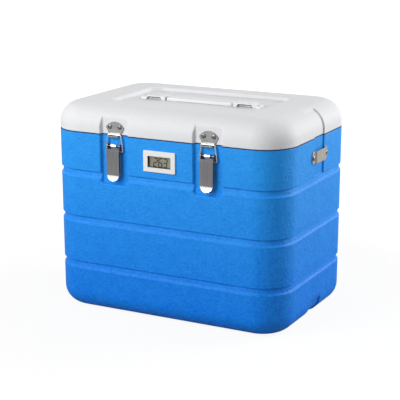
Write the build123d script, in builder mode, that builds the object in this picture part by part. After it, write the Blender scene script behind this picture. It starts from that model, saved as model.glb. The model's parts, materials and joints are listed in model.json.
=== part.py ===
from build123d import *
from math import atan, cos, degrees, radians, sin, sqrt
import os

os.makedirs("parts", exist_ok=True)

# Insulated vaccine carrier: a moulded blue body with a hinged white lid, held shut by
# two toggle latches. Millimetres. The origin is under the middle of the body, on the
# surface it stands on. +X runs along the length, -Y is the front with the latches,
# +Z is up. The lid is shut and the latches are closed.

# Body and lid shells
length = 354.0
width = 240.0
seam_height = 253.5
seam_gap = 0.5
lid_height = 37.0
plan_radius = 47.5
bottom_radius = 26.0
shoulder_radius = 30.0
draft = 0.24
shell_wall = 3.0

# Grooves moulded round the body
groove_count = 3
groove_spacing = 65.5
top_groove_below_seam = 62.5
groove_height = 9.8
groove_depth = 2.8
groove_steep_height = 2.0
groove_overshoot = 1.3

# Recess in the front behind each latch
latch_offset = 70.5
recess_width = 44.0
recess_depth = 5.0
recess_below_seam = 69.0
recess_slope_run = 2.5
recess_corner = 4.0

# Channel for a carrying strap, down both ends and under the body
strap_channel_width = 34.0
strap_channel_depth = 2.0
strap_channel_reach = 16.0
under_channel_height = 24.0

# Well in the lid for the carry handle
well_length = 222.0
well_width = 130.0
well_depth = 5.5
well_slope_run = 3.0
well_corner = 14.0

# Cold space and its liner
end_wall = 33.0
side_wall = 32.0
cavity_floor = 33.0
cavity_radius = 24.0
cavity_floor_radius = 10.0
cavity_draft = 1.0
liner_wall = 2.5

# Lid liner, its plug and the gasket
plug_depth = 22.0
plug_clearance = 3.0
plug_draft = 6.0
plug_edge_radius = 5.0
lid_flange_thickness = 4.0
gasket_width = 7.0
gasket_height = 3.0
gasket_inset = 16.0
gasket_squeeze_gap = 0.1

# Sheet metal and screws
sheet = 1.2
screw_radius = 1.75
screw_length = 9.0
screw_head_radius = 3.1
screw_head_height = 1.9
screw_head_round = 0.8
screw_clearance = 0.05
plate_hole_clearance = 0.15

# Toggle latch: pivot, base plate and lever
lever_pivot_below_seam = 14.5
lever_pivot_standoff = 3.6
lever_pin_radius = 1.4
lever_pin_head_radius = 2.1
lever_pin_head_height = 0.6
pin_clearance = 0.05
barrel_radius = 2.9
barrel_width = 8.0
base_width = 15.6
base_bottom_below_pivot = 42.0
base_top_below_pivot = 4.2
base_corner = 3.0
base_screws_below_pivot = (34.0, 15.0)
lever_width = 19.4
lever_end_width = 18.8
lever_standoff = 8.2
lever_face_top_below_pivot = 3.6
lever_flare_below_pivot = 39.5
lever_tip_below_pivot = 47.0
lever_flare = 2.0
ear_thickness = 1.2
ear_bottom_below_pivot = 10.4
ear_back_gap = 1.0
ear_corner = 1.2

# Bail wire between lever and keeper
bail_wire_radius = 1.0
bail_eye_below_pivot = 7.5
bail_eye_over_centre = 1.0
bail_bar_above_lid_base = 0.2
bail_bar_half_width = 9.9
bail_foot_half_width = 13.0
bail_end_half_width = 8.0
bail_bend_radius = 2.2
bail_eye_clearance = 0.08

# Keeper on the lid
keeper_neck_width = 19.0
keeper_fan_width = 28.0
keeper_fan_above_lid_base = 9.6
keeper_crown_above_lid_base = 17.6
keeper_corner = 1.6
keeper_bar_gap = 0.35
keeper_shelf_gap = 0.5
keeper_shelf_reach = 3.4
keeper_hook_width = 15.4
keeper_step = 0.6
keeper_bend_radius = 0.84
keeper_screw_spacing = 15.0
keeper_screw_above_lid_base = 10.6

# Panel thermometer in the front of the body
bezel_length = 48.0
bezel_height = 28.6
bezel_thickness = 2.2
bezel_corner = 1.2
bezel_round = 0.7
thermometer_below_seam = 29.2
window_length = 34.8
window_height = 15.4
window_lift = -0.4
case_length = 45.6
case_height = 26.2
case_depth = 14.0
case_wall = 1.4
case_front = 1.5
cutout_clearance = 0.3
lens_thickness = 0.8
lens_margin = 1.5
lcd_thickness = 2.0
lcd_gap = 1.1
board_thickness = 1.6
board_clearance = 0.3
cell_radius = 5.8
cell_thickness = 5.4
cell_spacing = 16.0
back_cover_thickness = 1.6

# Sensor lead through the wall
lead_radius = 1.2
lead_offset = 17.0
lead_clearance = 0.1
probe_radius = 2.5
probe_length = 12.0
probe_show = 2.0
grommet_radius = 4.0
grommet_flange_radius = 6.0
grommet_flange = 1.2
grommet_gap = 0.15

# Strap brackets on the ends
bracket_height = 16.5
bracket_below_seam = 33.5
bracket_half_span = 25.5
bridge_half_span = 16.6
bridge_rise = 2.4
bridge_bend = 1.6
bracket_corner = 3.0
bracket_screw_half_spacing = 22.1

# Butt hinges at the back
hinge_offset = 95.0
hinge_width = 50.0
hinge_leaf_height = 14.0
hinge_leaf = 1.5
hinge_knuckle_radius = 3.0
hinge_axis_standoff = 3.2
hinge_knuckle_count = 5
hinge_knuckle_gap = 0.3
hinge_pin_radius = 1.6
hinge_screw_half_spacing = 17.0
hinge_screw_drop = 9.0
hinge_corner = 2.0
hinge_leaf_clearance = 0.4

# Carry handle in the lid well
grip_length = 104.0
grip_width = 17.0
grip_thickness = 4.4
grip_round = 1.6
grip_corner = 4.2
handle_rest_gap = 0.3
band_width = 12.0
band_thickness = 1.0
band_height = 0.8
band_head_width = 15.0
band_head_length = 6.0
band_clearance = 0.3
cap_start = 53.5
cap_end = 91.5
cap_width = 19.0
cap_roof = 1.3
cap_mouth_wall = 4.0
cap_foot = 8.0
cap_foot_height = 2.8
cap_slope_run = 3.0
cap_round = 0.8
cap_seat = 1.5
handle_lift = 2.0
cap_screw_radius = 1.25
cap_screw_head_radius = 2.3
cap_screw_head_height = 1.0
cap_screw_head_round = 0.6
cap_screw_length = 7.0
cap_screw_seat_clearance = 0.2

# Places worked out from the sizes above
lid_base = seam_height + seam_gap
lid_top = lid_base + lid_height
groove_lows = [seam_height - top_groove_below_seam - step * groove_spacing for step in range(groove_count)]
recess_bottom = seam_height - recess_below_seam
cavity_length = length - 2 * end_wall
cavity_width = width - 2 * side_wall
lever_pivot_height = seam_height - lever_pivot_below_seam
base_bottom = lever_pivot_height - base_bottom_below_pivot
base_screw_heights = [lever_pivot_height - drop for drop in base_screws_below_pivot]
lever_flare_height = lever_pivot_height - lever_flare_below_pivot
lever_tip_height = lever_pivot_height - lever_tip_below_pivot
ear_bottom = lever_pivot_height - ear_bottom_below_pivot
bail_eye_height = lever_pivot_height - bail_eye_below_pivot
bail_bar_height = lid_base + bail_bar_above_lid_base
keeper_fan_height = lid_base + keeper_fan_above_lid_base
keeper_crown_height = lid_base + keeper_crown_above_lid_base
keeper_screw_height = lid_base + keeper_screw_above_lid_base
thermometer_height = seam_height - thermometer_below_seam
bracket_low = seam_height - bracket_below_seam
front_face = -width / 2
back_face = width / 2
recess_floor = front_face + recess_depth
pivot_y = recess_floor - lever_pivot_standoff
eye_y = pivot_y + bail_eye_over_centre
well_floor = lid_top - well_depth
cavity_depth = seam_height - cavity_floor
hinge_axis_y = back_face + hinge_axis_standoff
hinge_axis_z = seam_height + seam_gap / 2
latch_sides = {"left": -latch_offset, "right": latch_offset}
end_sides = {"left": -1, "right": 1}
hinge_sides = {"left": -hinge_offset, "right": hinge_offset}
lid_flange_top = lid_base + lid_flange_thickness
liner_draft_run = (seam_height - thermometer_height) * sin(radians(cavity_draft))
liner_face = -cavity_width / 2 + liner_draft_run
bail_bar_y = recess_floor - sheet - keeper_step - keeper_bar_gap - bail_wire_radius
lever_face = recess_floor - lever_standoff
band_low = well_floor + band_height
cap_height = band_height + band_thickness + handle_lift + band_clearance + cap_roof


def front_plane(x, y, z):
    """Plane facing the front, with its own Y pointing up."""
    return Plane(origin=(x, y, z), x_dir=(1, 0, 0), z_dir=(0, -1, 0))


def back_plane(x, y, z):
    """Plane facing the back, with its own Y pointing up."""
    return Plane(origin=(x, y, z), x_dir=(-1, 0, 0), z_dir=(0, 1, 0))


def end_plane(side, x, y, z):
    """Plane facing out of one end, with its own Y pointing up."""
    return Plane(origin=(side * x, y, z), x_dir=(0, side, 0), z_dir=(side, 0, 0))


# Moulded forms

def plain_body(inset):
    """Body block moved in by inset, without its grooves and recesses."""
    with BuildPart() as form:
        with BuildSketch(Plane.XY.offset(seam_height)):
            RectangleRounded(length - 2 * inset, width - 2 * inset, plan_radius - inset)
        extrude(amount=-(seam_height - inset), taper=draft)
        fillet(form.faces().sort_by(Axis.Z)[0].edges(), bottom_radius - inset)
    return form.part


def plain_lid(inset):
    """Lid block moved in by inset, without its well and recesses."""
    with BuildPart() as form:
        with BuildSketch(Plane.XY.offset(lid_base)):
            RectangleRounded(length - 2 * inset, width - 2 * inset, plan_radius - inset)
        extrude(amount=lid_height - inset)
        fillet(form.faces().sort_by(Axis.Z)[-1].edges(), shoulder_radius - inset)
    return form.part


def groove_ring(low, inset):
    """Ring that cuts one groove: a steep wall above its deepest line, a slope below."""
    deepest = low + groove_height - groove_steep_height
    slope_height = deepest - low
    shrink = 2 * (groove_depth + inset + (seam_height - deepest) * sin(radians(draft)))
    with BuildPart() as ring:
        with BuildSketch(Plane.XY.offset(deepest)) as outline:
            Rectangle(length + 4 * plan_radius, width + 4 * plan_radius)
            RectangleRounded(length - shrink, width - shrink, plan_radius - shrink / 2, mode=Mode.SUBTRACT)
        steep = degrees(atan(groove_depth / groove_steep_height))
        slope = degrees(atan(groove_depth / slope_height))
        extrude(outline.sketch, amount=groove_steep_height * groove_overshoot, taper=steep)
        extrude(outline.sketch, amount=-slope_height * groove_overshoot, taper=slope)
    return ring.part


def latch_recesses(inset):
    """Blocks that cut the two latch recesses, open upwards, with sloping walls."""
    flare = degrees(atan(recess_slope_run / recess_depth))
    floor_low = recess_bottom + recess_slope_run - inset
    floor_high = lid_top + plan_radius
    floor_width = recess_width - 2 * recess_slope_run + 2 * inset
    with BuildPart() as blocks:
        for x in latch_sides.values():
            with BuildSketch(front_plane(x, recess_floor + inset, (floor_low + floor_high) / 2)):
                RectangleRounded(floor_width, floor_high - floor_low, recess_corner)
            extrude(amount=2 * (recess_depth + inset), taper=-flare)
    return blocks.part


def end_channels(core, low, inset):
    """Blocks that cut the strap channels in both ends above low, down to the core."""
    start = length / 2 - strap_channel_reach
    with BuildPart() as blocks:
        with BuildSketch(Plane.XY.offset(low - inset)):
            with Locations((start + plan_radius, 0), (-start - plan_radius, 0)):
                Rectangle(2 * plan_radius, strap_channel_width + 2 * inset)
        extrude(amount=lid_top - low + plan_radius)
        add(core, mode=Mode.SUBTRACT)
    return blocks.part


def under_channel(core, inset):
    """Block that cuts the strap channel under the body, down to the core."""
    with BuildPart() as block:
        with BuildSketch(Plane.XY.offset(-plan_radius)):
            Rectangle(2 * length, strap_channel_width + 2 * inset)
        extrude(amount=plan_radius + under_channel_height + inset)
        add(core, mode=Mode.SUBTRACT)
    return block.part


def body_form(inset):
    """The body's moulded skin moved in by inset, as one solid."""
    core = plain_body(inset + strap_channel_depth)
    channel_low = max(groove_lows) + groove_height
    with BuildPart() as form:
        add(plain_body(inset))
        for low in groove_lows:
            add(groove_ring(low, inset), mode=Mode.SUBTRACT)
        add(latch_recesses(inset), mode=Mode.SUBTRACT)
        add(end_channels(core, channel_low, inset), mode=Mode.SUBTRACT)
        add(under_channel(core, inset), mode=Mode.SUBTRACT)
    return form.part


def lid_form(inset):
    """The lid's moulded skin moved in by inset, as one solid."""
    core = plain_lid(inset + strap_channel_depth)
    well_flare = degrees(atan(well_slope_run / well_depth))
    floor_shrink = 2 * (inset - well_slope_run)
    with BuildPart() as form:
        add(plain_lid(inset))
        add(latch_recesses(inset), mode=Mode.SUBTRACT)
        add(end_channels(core, seam_height, inset), mode=Mode.SUBTRACT)
        with BuildSketch(Plane.XY.offset(well_floor - inset)) as well:
            RectangleRounded(well_length + floor_shrink, well_width + floor_shrink, well_corner + inset)
        extrude(well.sketch, amount=well_depth + inset, taper=-well_flare, mode=Mode.SUBTRACT)
    return form.part


def cavity_form(outset):
    """The cold space grown by outset, open at the seam."""
    with BuildPart() as form:
        with BuildSketch(Plane.XY.offset(seam_height)):
            RectangleRounded(cavity_length + 2 * outset, cavity_width + 2 * outset, cavity_radius + outset)
        extrude(amount=-(cavity_depth + outset), taper=cavity_draft)
        fillet(form.faces().sort_by(Axis.Z)[0].edges(), cavity_floor_radius + outset)
    return form.part


def plug_form(inset, top, depth):
    """The lid's plug moved in by inset, from top down by depth."""
    plug_length = cavity_length - 2 * plug_clearance
    plug_width = cavity_width - 2 * plug_clearance
    with BuildPart() as form:
        with BuildSketch(Plane.XY.offset(top)):
            RectangleRounded(plug_length - 2 * inset, plug_width - 2 * inset, cavity_radius - inset)
        extrude(amount=-depth, taper=plug_draft)
        fillet(form.faces().sort_by(Axis.Z)[0].edges(), plug_edge_radius - inset)
    return form.part


# Screw places

def latch_base_screw_planes():
    return [
        front_plane(x, recess_floor - sheet, z)
        for x in latch_sides.values()
        for z in base_screw_heights
    ]


def keeper_screw_planes():
    return [
        front_plane(x + step, recess_floor - sheet, keeper_screw_height)
        for x in latch_sides.values()
        for step in (-keeper_screw_spacing / 2, keeper_screw_spacing / 2)
    ]


def bracket_screw_planes():
    return [
        end_plane(side, length / 2 + sheet, y, bracket_low + bracket_height / 2)
        for side in end_sides.values()
        for y in (-bracket_screw_half_spacing, bracket_screw_half_spacing)
    ]


def hinge_screw_planes(way):
    """way is -1 for the leaves on the body and 1 for the leaves on the lid."""
    return [
        back_plane(x + step, back_face + hinge_leaf, hinge_axis_z + way * hinge_screw_drop)
        for x in hinge_sides.values()
        for step in (-hinge_screw_half_spacing, hinge_screw_half_spacing)
    ]


def cap_screw_planes():
    place = cap_end - cap_foot / 2
    return [Plane(origin=(x, 0, well_floor + cap_seat)) for x in (-place, place)]


def screw_group(planes, radius, shank, head_radius, head_height, head_round):
    """Screws with domed heads standing on the given planes."""
    with BuildPart() as group:
        with Locations(*planes):
            Cylinder(head_radius, head_height, align=(Align.CENTER, Align.CENTER, Align.MIN))
        rims = [
            edge
            for plane in planes
            for edge in group.edges().filter_by(GeomType.CIRCLE)
            if (edge.arc_center - plane.origin - plane.z_dir * head_height).length < head_round
        ]
        fillet(rims, head_round)
        with Locations(*planes):
            Cylinder(radius, shank, align=(Align.CENTER, Align.CENTER, Align.MAX))
    return group


body_screw_planes = latch_base_screw_planes() + bracket_screw_planes() + hinge_screw_planes(-1)
lid_screw_planes = keeper_screw_planes() + hinge_screw_planes(1)
thermometer_plane = front_plane(0, front_face, thermometer_height)
lead_plane = front_plane(lead_offset, front_face, thermometer_height)

# Body and foam

body_inside = body_form(shell_wall)
cold_space = cavity_form(0)
liner_outside = cavity_form(liner_wall)

with BuildPart() as body_shell:
    add(body_form(0))
    add(body_inside, mode=Mode.SUBTRACT)
    with BuildSketch(thermometer_plane.offset(bezel_thickness)):
        Rectangle(case_length + 2 * cutout_clearance, case_height + 2 * cutout_clearance)
    extrude(amount=-(shell_wall + bezel_thickness + recess_depth), mode=Mode.SUBTRACT)
    with Locations(*body_screw_planes):
        Hole(screw_radius + screw_clearance, screw_length)
body_shell.part.label = "body_shell"
export_step(body_shell.part, "parts/body_shell.step")

with BuildPart() as inner_liner:
    add(body_inside)
    with BuildSketch(Plane.XY.offset(seam_height - liner_wall)):
        Rectangle(2 * length, 2 * width)
    extrude(amount=liner_wall, mode=Mode.INTERSECT)
    add(liner_outside)
    add(cold_space, mode=Mode.SUBTRACT)
    with Locations(lead_plane):
        Hole(grommet_radius + lead_clearance, width / 2 - cavity_width / 2 + cavity_radius)
inner_liner.part.label = "inner_liner"
export_step(inner_liner.part, "parts/inner_liner.step")

with BuildPart() as foam_core:
    add(body_inside)
    with BuildSketch(Plane.XY.offset(seam_height - liner_wall)):
        Rectangle(2 * length, 2 * width)
    extrude(amount=2 * liner_wall, mode=Mode.SUBTRACT)
    add(liner_outside, mode=Mode.SUBTRACT)
    with BuildSketch(thermometer_plane.offset(bezel_thickness)):
        Rectangle(case_length + 2 * cutout_clearance, case_height + 2 * cutout_clearance)
    extrude(amount=-case_depth, mode=Mode.SUBTRACT)
    with Locations(lead_plane):
        Hole(grommet_radius + lead_clearance, width / 2 - cavity_width / 2)
    with Locations(*body_screw_planes):
        Hole(screw_radius + screw_clearance, screw_length)
foam_core.part.label = "foam_core"
export_step(foam_core.part, "parts/foam_core.step")

# Lid

lid_inside = lid_form(shell_wall)
plug_hollow = plug_form(liner_wall, lid_flange_top, plug_depth + lid_flange_thickness - liner_wall)

with BuildPart() as lid_shell:
    add(lid_form(0))
    add(lid_inside, mode=Mode.SUBTRACT)
    with Locations(*lid_screw_planes):
        Hole(screw_radius + screw_clearance, screw_length)
    with Locations(*cap_screw_planes()):
        Hole(cap_screw_radius + screw_clearance, cap_screw_length)
lid_shell.part.label = "lid_shell"
export_step(lid_shell.part, "parts/lid_shell.step")

with BuildPart() as lid_liner:
    add(lid_inside)
    with BuildSketch(Plane.XY.offset(lid_base)):
        Rectangle(2 * length, 2 * width)
    extrude(amount=lid_flange_thickness, mode=Mode.INTERSECT)
    add(plug_form(0, lid_base, plug_depth))
    add(plug_hollow, mode=Mode.SUBTRACT)
    groove_in = 2 * (gasket_inset + gasket_width)
    with BuildSketch(Plane.XY.offset(seam_height)) as gasket_track:
        RectangleRounded(length - 2 * gasket_inset, width - 2 * gasket_inset, plan_radius - gasket_inset)
        RectangleRounded(
            length - groove_in,
            width - groove_in,
            plan_radius - groove_in / 2,
            mode=Mode.SUBTRACT,
        )
    extrude(gasket_track.sketch, amount=gasket_squeeze_gap + gasket_height, mode=Mode.SUBTRACT)
lid_liner.part.label = "lid_liner"
export_step(lid_liner.part, "parts/lid_liner.step")

with BuildPart() as lid_gasket:
    with BuildSketch(Plane.XY.offset(seam_height + gasket_squeeze_gap)):
        add(gasket_track.sketch.moved(Location((0, 0, -seam_height))))
    extrude(amount=gasket_height)
lid_gasket.part.label = "lid_gasket"
export_step(lid_gasket.part, "parts/lid_gasket.step")

with BuildPart() as lid_foam:
    add(lid_inside)
    with BuildSketch(Plane.XY.offset(lid_base)):
        Rectangle(2 * length, 2 * width)
    extrude(amount=lid_flange_thickness, mode=Mode.SUBTRACT)
    add(plug_hollow)
    with Locations(*lid_screw_planes):
        Hole(screw_radius + screw_clearance, screw_length)
    with Locations(*cap_screw_planes()):
        Hole(cap_screw_radius + screw_clearance, cap_screw_length)
lid_foam.part.label = "lid_foam"
export_step(lid_foam.part, "parts/lid_foam.step")

# Toggle latches

for side, x in latch_sides.items():
    with BuildPart() as latch_base:
        base_top = lever_pivot_height - base_top_below_pivot
        with BuildSketch(front_plane(x, recess_floor, (base_top + base_bottom) / 2)):
            RectangleRounded(base_width, base_top - base_bottom, base_corner)
        extrude(amount=sheet)
        with BuildSketch(front_plane(x, recess_floor, lever_pivot_height)):
            Rectangle(barrel_width, 2 * base_top_below_pivot, align=(Align.CENTER, Align.MAX))
        extrude(amount=sheet)
        with BuildSketch(Plane.YZ.offset(x - barrel_width / 2)):
            with Locations((pivot_y, lever_pivot_height)):
                Circle(barrel_radius)
        extrude(amount=barrel_width)
        with BuildSketch(Plane.YZ.offset(x - barrel_width / 2)):
            with Locations((pivot_y, lever_pivot_height)):
                Circle(lever_pin_radius + pin_clearance)
        extrude(amount=barrel_width, mode=Mode.SUBTRACT)
        with Locations(*[front_plane(x, recess_floor - sheet, z) for z in base_screw_heights]):
            Hole(screw_radius + plate_hole_clearance, sheet)
    latch_base.part.label = f"latch_base_{side}"
    export_step(latch_base.part, f"parts/latch_base_{side}.step")

    with BuildPart() as lever_pin:
        pin_half_length = lever_width / 2 + plate_hole_clearance
        with BuildSketch(Plane.YZ.offset(x - pin_half_length)):
            with Locations((pivot_y, lever_pivot_height)):
                Circle(lever_pin_radius)
        extrude(amount=2 * pin_half_length)
        for start in (x - pin_half_length - lever_pin_head_height, x + pin_half_length):
            with BuildSketch(Plane.YZ.offset(start)):
                with Locations((pivot_y, lever_pivot_height)):
                    Circle(lever_pin_head_radius)
            extrude(amount=lever_pin_head_height)
    lever_pin.part.label = f"lever_pin_{side}"
    export_step(lever_pin.part, f"parts/lever_pin_{side}.step")

    with BuildPart() as lever:
        face_top = lever_pivot_height - lever_face_top_below_pivot
        face_middle = lever_face + sheet / 2
        with BuildSketch(Plane.YZ.offset(x - lever_width / 2)):
            with BuildLine():
                Line((face_middle, face_top), (face_middle, lever_flare_height))
                TangentArc(
                    (face_middle, lever_flare_height),
                    (face_middle - lever_flare, lever_tip_height - sheet),
                    tangent=(0, -1),
                )
            trace(line_width=sheet)
        extrude(amount=lever_width)
        with BuildSketch(front_plane(x, recess_floor, 0)):
            with BuildLine():
                Polyline(
                    (lever_end_width / 2, lever_flare_height),
                    (lever_width / 2, face_top),
                    (-lever_width / 2, face_top),
                    (-lever_end_width / 2, lever_flare_height),
                )
                ThreePointArc(
                    (-lever_end_width / 2, lever_flare_height),
                    (0, lever_tip_height),
                    (lever_end_width / 2, lever_flare_height),
                )
            make_face()
        extrude(amount=2 * lever_standoff, mode=Mode.INTERSECT)
        ear_back = recess_floor - ear_back_gap
        for start in (x - lever_width / 2, x + lever_width / 2 - ear_thickness):
            with BuildSketch(Plane.YZ.offset(start)) as ear:
                Polygon(
                    (lever_face, ear_bottom),
                    (ear_back, ear_bottom),
                    (ear_back, lever_pivot_height),
                    (pivot_y, lever_pivot_height),
                    (lever_face, face_top),
                    align=None,
                )
                fillet(ear.vertices().group_by(Axis.Y)[0], ear_corner)
                with Locations((pivot_y, lever_pivot_height)):
                    Circle(barrel_radius)
                    Circle(lever_pin_radius + pin_clearance, mode=Mode.SUBTRACT)
                with Locations((eye_y, bail_eye_height)):
                    Circle(bail_wire_radius + bail_eye_clearance, mode=Mode.SUBTRACT)
            extrude(amount=ear_thickness)
    lever.part.label = f"lever_{side}"
    export_step(lever.part, f"parts/lever_{side}.step")

    with BuildPart() as bail:
        rise = bail_bar_height - bail_eye_height
        lean = bail_bar_y - eye_y
        bail_plane = Plane(origin=(x, eye_y, bail_eye_height), x_dir=(1, 0, 0), z_dir=(0, -rise, lean))
        wire_length = sqrt(rise**2 + lean**2)
        with BuildLine(bail_plane) as wire:
            FilletPolyline(
                (-bail_end_half_width, 0),
                (-bail_foot_half_width, 0),
                (-bail_bar_half_width, wire_length),
                (bail_bar_half_width, wire_length),
                (bail_foot_half_width, 0),
                (bail_end_half_width, 0),
                radius=bail_bend_radius,
            )
        with BuildSketch(Plane(wire.line @ 0, z_dir=wire.line % 0)):
            Circle(bail_wire_radius)
        sweep()
    bail.part.label = f"bail_{side}"
    export_step(bail.part, f"parts/bail_{side}.step")

    with BuildPart() as keeper:
        neck_low = lid_base + sheet
        with BuildSketch(front_plane(x, recess_floor, 0)) as fan:
            with BuildLine():
                Polyline(
                    (keeper_fan_width / 2, keeper_fan_height),
                    (keeper_neck_width / 2, neck_low),
                    (-keeper_neck_width / 2, neck_low),
                    (-keeper_fan_width / 2, keeper_fan_height),
                )
                ThreePointArc(
                    (-keeper_fan_width / 2, keeper_fan_height),
                    (0, keeper_crown_height),
                    (keeper_fan_width / 2, keeper_fan_height),
                )
            make_face()
            fillet(fan.vertices(), keeper_corner)
        extrude(amount=sheet)
        with Locations(*[
            front_plane(x + step, recess_floor - sheet, keeper_screw_height)
            for step in (-keeper_screw_spacing / 2, keeper_screw_spacing / 2)
        ]):
            Hole(screw_radius + plate_hole_clearance, sheet)
        plate_y = recess_floor - sheet / 2
        step_y = plate_y - keeper_step
        shelf_z = bail_bar_height - bail_wire_radius - keeper_shelf_gap - sheet / 2
        with BuildSketch(Plane.YZ.offset(x - keeper_hook_width / 2)):
            with BuildLine():
                FilletPolyline(
                    (plate_y, neck_low + 2 * sheet),
                    (plate_y, neck_low + sheet),
                    (step_y, lid_base),
                    (step_y, shelf_z),
                    (bail_bar_y - keeper_shelf_reach, shelf_z),
                    radius=keeper_bend_radius,
                )
            trace(line_width=sheet)
        extrude(amount=keeper_hook_width)
    keeper.part.label = f"keeper_{side}"
    export_step(keeper.part, f"parts/keeper_{side}.step")

# Thermometer

glass_front = bezel_thickness - case_front
lcd_front = glass_front - lens_thickness - lcd_gap
board_front = lcd_front - lcd_thickness
cell_front = board_front - board_thickness
cover_front = bezel_thickness - case_depth + back_cover_thickness
inner_case_length = case_length - 2 * case_wall
inner_case_height = case_height - 2 * case_wall

with BuildPart() as thermometer_case:
    with BuildSketch(thermometer_plane):
        RectangleRounded(bezel_length, bezel_height, bezel_corner)
    extrude(amount=bezel_thickness)
    fillet(thermometer_case.faces().sort_by(Axis.Y)[0].edges(), bezel_round)
    with BuildSketch(thermometer_plane):
        Rectangle(case_length, case_height)
    extrude(amount=bezel_thickness - case_depth)
    with BuildSketch(thermometer_plane.offset(glass_front)):
        Rectangle(inner_case_length, inner_case_height)
    extrude(amount=-case_depth, mode=Mode.SUBTRACT)
    with BuildSketch(thermometer_plane.offset(bezel_thickness)):
        with Locations((0, window_lift)):
            Rectangle(window_length, window_height)
    extrude(amount=-case_front, mode=Mode.SUBTRACT)
thermometer_case.part.label = "thermometer_case"
export_step(thermometer_case.part, "parts/thermometer_case.step")

with BuildPart() as thermometer_lens:
    with BuildSketch(thermometer_plane.offset(glass_front)):
        with Locations((0, window_lift)):
            Rectangle(window_length + 2 * lens_margin, window_height + 2 * lens_margin)
    extrude(amount=-lens_thickness)
thermometer_lens.part.label = "thermometer_lens"
export_step(thermometer_lens.part, "parts/thermometer_lens.step")

with BuildPart() as lcd_panel:
    with BuildSketch(thermometer_plane.offset(lcd_front)):
        with Locations((0, window_lift)):
            Rectangle(window_length + 2 * lens_margin, window_height + 2 * lens_margin)
    extrude(amount=-lcd_thickness)
lcd_panel.part.label = "lcd_panel"
export_step(lcd_panel.part, "parts/lcd_panel.step")

with BuildPart() as thermometer_board:
    with BuildSketch(thermometer_plane.offset(board_front)):
        Rectangle(inner_case_length - 2 * board_clearance, inner_case_height - 2 * board_clearance)
    extrude(amount=-board_thickness)
thermometer_board.part.label = "thermometer_board"
export_step(thermometer_board.part, "parts/thermometer_board.step")

with BuildPart() as button_cells:
    with BuildSketch(thermometer_plane.offset(cell_front)):
        with Locations((-cell_spacing / 2, 0), (cell_spacing / 2, 0)):
            Circle(cell_radius)
    extrude(amount=-cell_thickness)
button_cells.part.label = "button_cells"
export_step(button_cells.part, "parts/button_cells.step")

with BuildPart() as thermometer_back_cover:
    with BuildSketch(thermometer_plane.offset(cover_front)):
        Rectangle(inner_case_length - 2 * lead_clearance, inner_case_height - 2 * lead_clearance)
    extrude(amount=-back_cover_thickness)
    with Locations(lead_plane.offset(cover_front)):
        Hole(lead_radius + lead_clearance, back_cover_thickness)
thermometer_back_cover.part.label = "thermometer_back_cover"
export_step(thermometer_back_cover.part, "parts/thermometer_back_cover.step")

flange_back = liner_face + grommet_gap
probe_tip = flange_back + grommet_flange + probe_show

with BuildPart() as sensor_probe:
    with Locations(front_plane(lead_offset, probe_tip, thermometer_height)):
        Cylinder(probe_radius, probe_length, align=(Align.CENTER, Align.CENTER, Align.MIN))
sensor_probe.part.label = "sensor_probe"
export_step(sensor_probe.part, "parts/sensor_probe.step")

with BuildPart() as probe_grommet:
    with Locations(front_plane(lead_offset, flange_back, thermometer_height)):
        Cylinder(grommet_radius, 2 * liner_wall, align=(Align.CENTER, Align.CENTER, Align.MIN))
        Cylinder(grommet_flange_radius, grommet_flange, align=(Align.CENTER, Align.CENTER, Align.MAX))
    with Locations(front_plane(lead_offset, probe_tip, thermometer_height)):
        Cylinder(
            probe_radius + screw_clearance,
            probe_length,
            align=(Align.CENTER, Align.CENTER, Align.MIN),
            mode=Mode.SUBTRACT,
        )
probe_grommet.part.label = "probe_grommet"
export_step(probe_grommet.part, "parts/probe_grommet.step")

with BuildPart() as probe_lead:
    lead_start = front_face - cell_front
    lead_end = probe_tip - probe_length
    with Locations(front_plane(lead_offset, lead_end, thermometer_height)):
        Cylinder(lead_radius, lead_end - lead_start, align=(Align.CENTER, Align.CENTER, Align.MIN))
probe_lead.part.label = "probe_lead"
export_step(probe_lead.part, "parts/probe_lead.step")

# Strap brackets

for side, way in end_sides.items():
    foot_x = length / 2 + sheet / 2
    bridge_x = foot_x + bridge_rise
    with BuildPart() as strap_bracket:
        with BuildSketch(Plane.XY.offset(bracket_low)):
            with BuildLine():
                FilletPolyline(
                    (way * foot_x, -bracket_half_span),
                    (way * foot_x, -bridge_half_span - bridge_bend / 2),
                    (way * bridge_x, -bridge_half_span + bridge_bend),
                    (way * bridge_x, bridge_half_span - bridge_bend),
                    (way * foot_x, bridge_half_span + bridge_bend / 2),
                    (way * foot_x, bracket_half_span),
                    radius=bridge_bend,
                )
            trace(line_width=sheet)
        extrude(amount=bracket_height)
        fillet(strap_bracket.edges().filter_by(Axis.X), bracket_corner)
        with Locations(*[plane for plane in bracket_screw_planes() if plane.origin.X * way > 0]):
            Hole(screw_radius + plate_hole_clearance, sheet)
    strap_bracket.part.label = f"strap_bracket_{side}"
    export_step(strap_bracket.part, f"parts/strap_bracket_{side}.step")

# Lid hinges


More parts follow.
